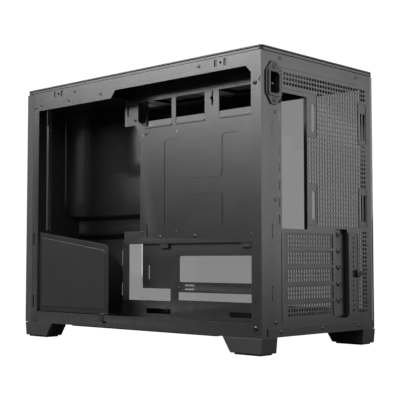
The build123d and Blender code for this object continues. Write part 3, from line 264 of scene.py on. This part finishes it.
# %% Weave: threads that cross at right angles, seen from above
weave_group, weave_in, weave_out = start_group("woven_threads", {"Threads": 2600.0}, "Height")
weave_place = weave_group.nodes.new("ShaderNodeTexCoord")
weave_axes = weave_group.nodes.new("ShaderNodeSeparateXYZ")
node_link(weave_group, weave_place.outputs["Object"], weave_axes.inputs[0])
threads = []
for direction in ("X", "Y"):
    phase = maths(weave_group, "MULTIPLY", weave_axes.outputs[direction], weave_in.outputs["Threads"])
    threads.append(maths(weave_group, "ABSOLUTE", maths(weave_group, "SINE", phase, 0.0), 0.0))
node_link(weave_group, maths(weave_group, "MAXIMUM", threads[0], threads[1]), weave_out.inputs["Height"])
print("effects", [group.name for group in bpy.data.node_groups])

# %% [markdown]
# ## Finishes
# Most finishes differ only in tone, gloss and skin, so one builder makes them: a base tone with a faint
# mottle, edges lightened by wear and a painted highlight, dust, a roughness that wanders a little, and the
# lumpy skin as bump.


# %% Solid finish
dust_tone = (0.16, 0.155, 0.15)


def blend_tone(tree, share, first, second):
    """Mix node between two tones by a share; a tone is a grey, a colour or a socket."""
    mix = new_node(tree, "ShaderNodeMix", data_type="RGBA")
    node_link(tree, share, mix.inputs[0])
    for socket, tone in ((mix.inputs[6], first), (mix.inputs[7], second)):
        if isinstance(tone, bpy.types.NodeSocket):
            node_link(tree, tone, socket)
        else:
            socket.default_value = (*tone, 1) if isinstance(tone, tuple) else (tone, tone, tone, 1)
    return mix.outputs[2]


def place_group(tree, group, **values):
    """Puts a shared effect into a material with its own values and gives its output socket."""
    node = tree.nodes.new("ShaderNodeGroup")
    node.node_tree = group
    for key, value in values.items():
        node.inputs[key.replace("_", " ")].default_value = value
    return node.outputs[0]


def solid_finish(name, tone, worn_and_highlight_tone, gloss, grain=1400.0, bump=0.12, wear_and_highlight=0.5, dust=0.15, metal=0.0,
                 mottle=0.18, mottle_scale=60.0):
    """Opaque finish. gloss is the (lowest, highest) roughness; tone and worn_and_highlight_tone are colours.
    worn_and_highlight_tone lightens proud edges, as wear and as a painted highlight.
    """
    material = bpy.data.materials.new(name)
    material.use_nodes = True
    tree = material.node_tree
    shader = tree.nodes["Principled BSDF"]
    shader.inputs["Metallic"].default_value = metal
    cloud = object_noise(tree, mottle_scale, 4.0)
    dark = tuple(c * (1 - mottle) for c in tone)
    light = tuple(min(1.0, c * (1 + mottle)) for c in tone)
    colour = blend_tone(tree, cloud, dark, light)
    # Proud edges are blended towards the edge tone: wear together with a painted highlight.
    colour = blend_tone(tree, place_group(tree, wear_highlight_group, Amount=wear_and_highlight), colour, worn_and_highlight_tone)
    colour = blend_tone(tree, place_group(tree, dust_group, Amount=dust), colour, dust_tone)
    node_link(tree, colour, shader.inputs["Base Color"])
    smear = object_noise(tree, mottle_scale * 0.5, 3.0)
    rough = maths(tree, "ADD", maths(tree, "MULTIPLY", smear, gloss[1] - gloss[0]), gloss[0])
    node_link(tree, rough, shader.inputs["Roughness"])
    relief = tree.nodes.new("ShaderNodeBump")
    relief.inputs["Strength"].default_value = bump
    relief.inputs["Distance"].default_value = 0.0004
    node_link(tree, place_group(tree, skin_group, Grain_Scale=grain), relief.inputs["Height"])
    node_link(tree, relief.outputs["Normal"], shader.inputs["Normal"])
    return material


finishes = {
    "steel_black": solid_finish("powder_coat_black", (0.012, 0.012, 0.0125), (0.05, 0.05, 0.052),
                                (0.26, 0.33)),
    "steel_cover": solid_finish("powder_coat_cover", (0.015, 0.015, 0.0155), (0.06, 0.06, 0.06),
                                (0.36, 0.44)),
    "trim_plastic": solid_finish("moulded_trim", (0.022, 0.022, 0.023), (0.04, 0.04, 0.04), (0.45, 0.58),
                                 grain=2400.0, bump=0.2, wear_and_highlight=0.2),
    "plastic_black": solid_finish("moulded_nylon", (0.018, 0.018, 0.019), (0.04, 0.04, 0.04), (0.38, 0.5),
                                  grain=2000.0, bump=0.15, wear_and_highlight=0.25),
    "rubber_black": solid_finish("foot_rubber", (0.012, 0.012, 0.012), (0.03, 0.03, 0.03), (0.7, 0.85),
                                 grain=1800.0, bump=0.3, wear_and_highlight=0.2),
    "screw_steel": solid_finish("black_nickel", (0.07, 0.07, 0.073), (0.35, 0.35, 0.36), (0.2, 0.32),
                                grain=3000.0, bump=0.05, wear_and_highlight=0.4, metal=1.0, dust=0.0),
    "screw_black": solid_finish("black_oxide", (0.03, 0.03, 0.031), (0.3, 0.3, 0.3), (0.3, 0.42),
                                grain=3000.0, bump=0.06, wear_and_highlight=0.6, metal=0.7, dust=0.0),
    "standoff_brass": solid_finish("turned_brass", (0.22, 0.17, 0.09), (0.4, 0.32, 0.18), (0.25, 0.38),
                                   grain=3000.0, bump=0.05, wear_and_highlight=0.3, metal=1.0, dust=0.0),
    "port_metal": solid_finish("nickel_shell", (0.6, 0.6, 0.6), (0.75, 0.75, 0.75), (0.22, 0.32),
                               grain=2600.0, bump=0.04, wear_and_highlight=0.3, metal=1.0, dust=0.0),
    "filter_mesh": solid_finish("filter_frame", (0.02, 0.02, 0.02), (0.04, 0.04, 0.04), (0.5, 0.6)),
    "board_green": solid_finish("solder_resist", (0.008, 0.055, 0.022), (0.05, 0.12, 0.06), (0.25, 0.35),
                                grain=900.0, bump=0.08, wear_and_highlight=0.1),
}

# %% Filter mesh: dark gaps between lit threads, in the colour and in the relief
filter_tree = finishes["filter_mesh"].node_tree
filter_shader = filter_tree.nodes["Principled BSDF"]
thread_height = place_group(filter_tree, weave_group, Threads=2600.0)
thread_tone = blend_tone(filter_tree, thread_height, (0.003, 0.003, 0.003), (0.03, 0.03, 0.031))
node_link(filter_tree, thread_tone, filter_shader.inputs["Base Color"])
thread_relief = new_node(filter_tree, "ShaderNodeBump", Strength=0.6, Distance=0.0004)
node_link(filter_tree, thread_height, thread_relief.inputs["Height"])
node_link(filter_tree, thread_relief.outputs["Normal"], filter_shader.inputs["Normal"])

# %% Tinted glass
glass = bpy.data.materials.new("tinted_glass")
glass.use_nodes = True
glass_tree = glass.node_tree
glass_shader = glass_tree.nodes["Principled BSDF"]
glass_shader.inputs["Transmission Weight"].default_value = 1.0
glass_shader.inputs["IOR"].default_value = 1.46
smudge = object_noise(glass_tree, 9.0, 3.0)
smudge_from, smudge_rough = 0.6, 0.05
smudged = maths(glass_tree, "MAXIMUM", maths(glass_tree, "SUBTRACT", smudge, smudge_from), 0.0)
glass_rough = maths(glass_tree, "MULTIPLY", smudged, smudge_rough)
node_link(glass_tree, glass_rough, glass_shader.inputs["Roughness"])
dark_tint, light_tint = (0.235, 0.235, 0.237), (0.255, 0.255, 0.258)
tint = blend_tone(glass_tree, object_noise(glass_tree, 3.0, 1.0), dark_tint, light_tint)
node_link(glass_tree, tint, glass_shader.inputs["Base Color"])
finishes["glass_tinted"] = glass
print("finishes", sorted(finishes))

# %% [markdown]
# ## Sheet metal with real edges
# A pressed sheet never has a knife edge: the tool rounds it by a fraction of a millimetre and the
# coating rounds it more, and that thin line is what catches the light. Each packed sheet is copied, its
# triangles are joined back into flat faces, and a live Bevel rounds every sharp edge of the copy.


# %% Let large faces set the shading
def flats_first(piece):
    """Adds a Weighted Normal, so that wide flat faces stay flat and only narrow ones carry the curve."""
    weighting = piece.modifiers.new("flat_faces", "WEIGHTED_NORMAL")
    weighting.mode = "FACE_AREA_WITH_ANGLE"
    weighting.weight = 100
    weighting.keep_sharp = True


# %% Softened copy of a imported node
def softened(node, radius, steps=2, limit=40.0):
    """Welded copy of a node with every edge sharper than limit degrees rounded by radius millimetres."""
    mesh = frame["nodes"][node].data.copy()
    mesh.name = node + "_finished"
    form = bmesh.new()
    form.from_mesh(mesh)
    bmesh.ops.remove_doubles(form, verts=form.verts, dist=2e-6)
    bmesh.ops.dissolve_limit(form, angle_limit=math.radians(0.5), verts=form.verts, edges=form.edges)
    form.to_mesh(mesh)
    form.free()
    mesh.shade_smooth()
    mesh.set_sharp_from_angle(angle=math.radians(limit))
    mesh.materials.clear()
    mesh.materials.append(finishes[slot_of_node[node]])
    piece = bpy.data.objects.new(node + "_finished", mesh)
    bpy.context.scene.collection.objects.link(piece)
    rounding = piece.modifiers.new("rounded_edges", "BEVEL")
    rounding.width = radius * MM
    rounding.segments = steps
    rounding.limit_method = "ANGLE"
    rounding.angle_limit = math.radians(limit)
    rounding.miter_outer = "MITER_SHARP"
    flats_first(piece)
    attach(piece, body_of_node[node])
    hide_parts(node)
    return piece


# %% [markdown]
# ## Shapes worked out on a grid
# Screws, rivets and bends are surfaces of two parameters. numpy works out every point of a grid at once,
# and one helper turns the grid into faces, so that each shape below is only its formula.


# %% Faces of a grid and a finished piece
def grid_faces(rows, columns, start=0, wrap=False):
    """Four-sided faces over a rows by columns grid of points numbered row by row from start."""
    index = start + np.arange(rows * columns).reshape(rows, columns)
    if wrap:
        index = np.concatenate([index, index[:, :1]], axis=1)
    corners = (index[:-1, :-1], index[:-1, 1:], index[1:, 1:], index[1:, :-1])
    return np.stack([corner.ravel() for corner in corners], axis=1)


def add_piece(name, points, faces, node, closed=True, sharp=35.0):
    """Mesh object from arrays of points and faces: merged, and riding as the node it stands for does.

    A closed form is faced outwards; an open sheet keeps the facing that its grid gives it.
    """
    mesh = bpy.data.meshes.new(name)
    mesh.from_pydata(np.asarray(points).tolist(), [], [list(face) for face in faces])
    form = bmesh.new()
    form.from_mesh(mesh)
    bmesh.ops.remove_doubles(form, verts=form.verts, dist=1e-7)
    if closed:
        bmesh.ops.recalc_face_normals(form, faces=form.faces)
    form.to_mesh(mesh)
    form.free()
    mesh.shade_smooth()
    mesh.set_sharp_from_angle(angle=math.radians(sharp))
    mesh.materials.append(finishes[slot_of_node[node]])
    piece = bpy.data.objects.new(name, mesh)
    bpy.context.scene.collection.objects.link(piece)
    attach(piece, body_of_node[node])
    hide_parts(node)
    return piece


# %% Separate solids of a node
def solids_of(node):
    """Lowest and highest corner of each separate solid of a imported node, in metres."""
    form = bmesh.new()
    form.from_mesh(frame["nodes"][node].data)
    bmesh.ops.remove_doubles(form, verts=form.verts, dist=2e-6)
    left = set(form.verts)
    boxes = []
    while left:
        island, edge_of_search = set(), {left.pop()}
        while edge_of_search:
            vertex = edge_of_search.pop()
            island.add(vertex)
            edge_of_search |= {edge.other_vert(vertex) for edge in vertex.link_edges} - island
        left -= island
        where = np.array([vertex.co[:] for vertex in island])
        boxes.append((where.min(axis=0), where.max(axis=0)))
    form.free()
    return sorted(boxes, key=lambda box: tuple(np.round(box[0], 5)))


# %% Turned shape with a pressed top
def turned(profile, around=40, press=None):
    """Points and faces of a profile of (radius, height) turned about the third axis, in millimetres.

    Point (i, j) is (r_i cos a_j, r_i sin a_j, h_i). press(x, y, r, h) gives the height to take off, which
    is how a recess or a dimple is pushed into the top.
    """
    radius, height = np.array(profile, dtype=float).T[:, :, None]
    turn = np.arange(around) * 2 * np.pi / around
    x, y = radius * np.cos(turn), radius * np.sin(turn)
    z = height + np.zeros_like(x)
    if press is not None:
        z = z - press(x, y, radius + np.zeros_like(x), z)
    points = np.stack([x, y, z], axis=-1).reshape(-1, 3)
    return points, grid_faces(len(profile), around, wrap=True)


def cross_recess(reach, arm, depth):
    """Press for a cross: depth inside two arms of half width arm, fading out at the radius reach.

    The arms' walls slope over 0.7 of arm about its edge, and their ends over the last quarter of reach.
    """
    def press(x, y, r, h):
        along = np.minimum(np.abs(x), np.abs(y))
        across_arm = np.clip((arm * 1.35 - along) / (arm * 0.7), 0, 1)
        along_arm = np.clip((reach - r) / (reach * 0.25), 0, 1)
        return depth * (across_arm * along_arm) * (h > 0)
    return press


def dimple(reach, depth):
    """Press for a round hollow: depth times (1 - (r / reach) squared) inside the radius reach."""
    return lambda x, y, r, h: depth * np.clip(1 - (r / reach) ** 2, 0, 1) * (h > 0)


# %% Fasteners in the places of a node's solids
def domed(radius, height, rim=0.3, rings=12):
    """Profile from the middle of a domed head to the foot of its rim.

    At the share k of the radius it stands rim + (1 - rim) times the root of (1 - k to the fullness).
    """
    share = np.linspace(0.0, 1.0, rings)
    fullness = 2.6
    dome = np.sqrt(np.maximum(0.0, 1 - share ** fullness))
    top = list(zip(radius * share, rim * height + (1 - rim) * height * dome))
    return top + [(radius, 0.0)]


def fasteners(node, axis, head, shank, height, press, name):
    """Turned heads and shanks that stand in the boxes of a node's solids, along an axis (0 is X, 1 is Y)."""
    points, faces, count = [], [], 0
    first_spin, next_spin, taper = 0.4, 1.7, 0.4
    boxes = solids_of(node)
    for turn, (low, high) in enumerate(boxes):
        middle = (low + high) / 2 / MM
        length = (high - low)[axis] / MM
        profile = domed(head, height) + [
            (shank, 0.0), (shank, height - length + taper), (0.0, height - length)]
        shape, sides = turned(profile, press=press)
        spin = first_spin + next_spin * turn
        x = shape[:, 0] * math.cos(spin) - shape[:, 1] * math.sin(spin)
        y = shape[:, 0] * math.sin(spin) + shape[:, 1] * math.cos(spin)
        along = high[axis] / MM - height + shape[:, 2]
        placed = [None, None, None]
        placed[axis] = along
        placed[(axis + 1) % 3] = middle[(axis + 1) % 3] + x
        placed[(axis + 2) % 3] = middle[(axis + 2) % 3] + y
        points.append(np.stack(placed, axis=1) * MM)
        faces.append(sides + count)
        count += len(shape)
    piece = add_piece(name, np.concatenate(points), np.concatenate(faces), node)
    print(name, len(boxes), "places,", len(piece.data.polygons), "faces")


# %% [markdown]
# ## Screws and rivets
# The screws are small pan heads in black nickel with a cross recess; their domes throw a small glint. The
# rivets are blind ones: a low dome with the broken stem's dimple in the middle. Each is one turned
# profile, and the cross is pressed into the dome where the formula says.

# %% Screws and rivets
finished = set()
for node, axis, head, height, shank in (
    ("rail_screws", 0, 2.3, 0.8, 1.5),
    ("column_screws", 0, 2.8, 1.4, 1.5),
    ("tray_screws", 0, 2.3, 0.9, 1.5),
    ("slot_screws", 1, 2.8, 1.4, 1.5),
    ("inlet_screws", 1, 2.8, 1.0, 1.5),
):
    fasteners(node, axis, head, shank, height, cross_recess(1.5, 0.36, height * 0.75), node + "_heads")
    finished.add(node)
fasteners("rear_rivets", 1, 2.4, 1.5, 0.7, dimple(0.9, 0.5), "rear_rivets_domed")
finished.add("rear_rivets")

# %% [markdown]
# ## The power supply wall
# One sheet comes down from the top, steps in twice near its foot, and curls round onto the front wall.
# Pressed bends are soft S curves, so the upright profile is a smooth function of height, and the curl
# turns that profile about an upright axis until it meets the front wall.

# %% Power supply wall
wall_low, wall_high = (np.array(corner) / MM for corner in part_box("psu_divider"))
wall_step, curl_reach, flange_reach = 8.0, 28.0, 4.0
wall_face = wall_low[0] + 1.0 + 2 * wall_step
curl_x, curl_y = wall_high[0] - flange_reach, wall_low[1] + curl_reach
upper_bend, lower_bend = wall_low[2] + 35.0, wall_low[2] + 8.0
pad_low, pad_high, pad_rear, pad_front = 232.4, 302.6, -63.9, -101.1
pad_rise, pad_slope = 0.5, 1.2
print("power supply wall from", wall_low, "to", wall_high, "mm")


def soft_step(t):
    """Smooth rise from 0 to 1 as t goes from 0 to 1: (1 - cos(pi t)) / 2."""
    return (1 - np.cos(np.pi * np.clip(t, 0, 1))) / 2


def wall_grid():
    """Points of the wall's bay side: row i at height z_i, column j along the straight and round the curl.

    The face stands at x(z) = face - step S((upper - z) / step) - step S((lower - z) / step), where S is
    soft_step. Round the curl it is (cx - p cos a, cy - p sin a) with p = cx - x(z), up to the angle at
    which the back of the sheet meets the front wall. A shallow pad is raised by pad_rise with soft sides.
    """
    slope = pad_slope * np.array([0, 0.5, 1])
    z = np.unique(np.concatenate([
        np.linspace(wall_low[2], lower_bend, 13), np.linspace(lower_bend, upper_bend - wall_step, 4),
        np.linspace(upper_bend - wall_step, upper_bend, 13), pad_low + slope, pad_high - slope,
        np.linspace(upper_bend, wall_high[2], 8)]).round(3))
    face = wall_face - wall_step * (
        soft_step((upper_bend - z) / wall_step) + soft_step((lower_bend - z) / wall_step))
    between = -140.0
    y = np.concatenate([
        [wall_high[1]], (pad_rear - slope).round(3), (pad_front + slope[::-1]).round(3), [between, curl_y]])
    raised = pad_rise * np.outer(
        soft_step((z - pad_low) / pad_slope) * soft_step((pad_high - z) / pad_slope),
        soft_step((pad_rear - y) / pad_slope) * soft_step((y - pad_front) / pad_slope))
    straight = np.stack([face[:, None] + raised, y + 0 * raised, z[:, None] + 0 * raised], axis=-1)
    reach = curl_x - face
    last = np.arcsin(np.clip(curl_reach / (reach + 1.0), 0, 1))
    turn = last[:, None] * np.linspace(0, 1, 17)[None, 1:]
    curl = np.stack(
        [curl_x - reach[:, None] * np.cos(turn), curl_y - reach[:, None] * np.sin(turn),
         z[:, None] + 0 * turn], axis=-1)
    return z, np.concatenate([straight, curl], axis=1)


wall_z, wall_points = wall_grid()
rows, columns = wall_points.shape[:2]
wall_faces = grid_faces(rows, columns)
flange_rows = np.nonzero(wall_z >= upper_bend)[0]
flange = wall_points[flange_rows, -1]
flange_end = flange + np.array([flange_reach, 0, 0])
flange_faces = grid_faces(len(flange_rows), 2, start=rows * columns)
flange_points = np.stack([flange, flange_end], axis=1)
power_wall = add_piece(
    "power_supply_wall",
    np.concatenate([wall_points.reshape(-1, 3), flange_points.reshape(-1, 3)]) * MM,
    np.concatenate([wall_faces, flange_faces]), "psu_divider", closed=False, sharp=60.0)
facing = np.array([face.normal[0] for face in power_wall.data.polygons]).mean()
plate = power_wall.modifiers.new("sheet_thickness", "SOLIDIFY")
plate.thickness = 1.0 * MM
plate.offset = -1.0 if facing > 0 else 1.0
plate.use_even_offset = True
finished.add("psu_divider")
print("power supply wall", rows, "by", columns, "facing", round(float(facing), 2))

# %% [markdown]
# ## Thumb screw
# The clamp's screw is turned by hand, so its rim is knurled: the radius ripples with the turn, and only on
# the rim. A cross recess in a shallow dish takes a screwdriver.

# %% Knurled thumb screw
screw_low, screw_high = (np.array(corner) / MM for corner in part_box("clamp_thumb_screw"))
screw_middle = (screw_low + screw_high) / 2
grip_r, head_height, dish_height, shank_r = 5.0, 4.4, 4.0, 1.8
screw_foot = head_height - (screw_high[1] - screw_low[1])
dish = [(r, dish_height) for r in np.linspace(0.0, 2.9, 12)]
rim_and_shank = [
    (3.0, dish_height), (3.3, head_height), (4.3, head_height), (4.9, 4.1), (grip_r, 3.8), (grip_r, 2.4),
    (grip_r, 0.9), (4.9, 0.5), (4.0, 0.3), (4.0, 0.0), (shank_r, 0.0), (shank_r, screw_foot),
    (0.0, screw_foot)]
screw_points, screw_faces = turned(dish + rim_and_shank, around=96, press=cross_recess(2.4, 0.45, 1.2))
spread = np.hypot(screw_points[:, 0], screw_points[:, 1])
angle = np.arctan2(screw_points[:, 1], screw_points[:, 0])
knurl_depth, knurl_from, knurls = 0.28, 4.85, 24
ripple_depth = knurl_depth * (spread > knurl_from) * (1 - np.cos(knurls * angle)) / 2
screw_points[:, :2] *= ((spread - ripple_depth) / np.maximum(spread, 1e-6))[:, None]
thumb_points = np.stack([
    screw_middle[0] + screw_points[:, 1], screw_high[1] - head_height + screw_points[:, 2],
    screw_middle[2] + screw_points[:, 0]], axis=1) * MM
add_piece("thumb_screw_knurled", thumb_points, screw_faces, "clamp_thumb_screw")
finished.add("clamp_thumb_screw")
print("thumb screw", len(thumb_points), "points,", knurls, "knurls")

# %% [markdown]
# ## All other sheets and mouldings
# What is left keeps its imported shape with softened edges. The radius follows how the name starts, and the
# first start that fits counts: mouldings are rounder than pressed sheet, and perforated sheet is sharpest.

# %% Soften the rest
edge_radius = {"foot_pad": 0.5, "foot_": 1.0, "drive_bracket": 0.6, "inlet_housing": 0.4, "top_frame": 0.45,
               "base_pan": 0.45, "front_frame": 0.45, "top_rim": 0.6, "rear_vent": 0.12, "slot_cover": 0.15}
usual_radius = 0.3
for node in frame["nodes"]:
    if node not in finished:
        fitting = [size for start, size in edge_radius.items() if node.startswith(start)]
        softened(node, (fitting or [usual_radius])[0])
print("softened", len(frame["nodes"]) - len(finished), "nodes")
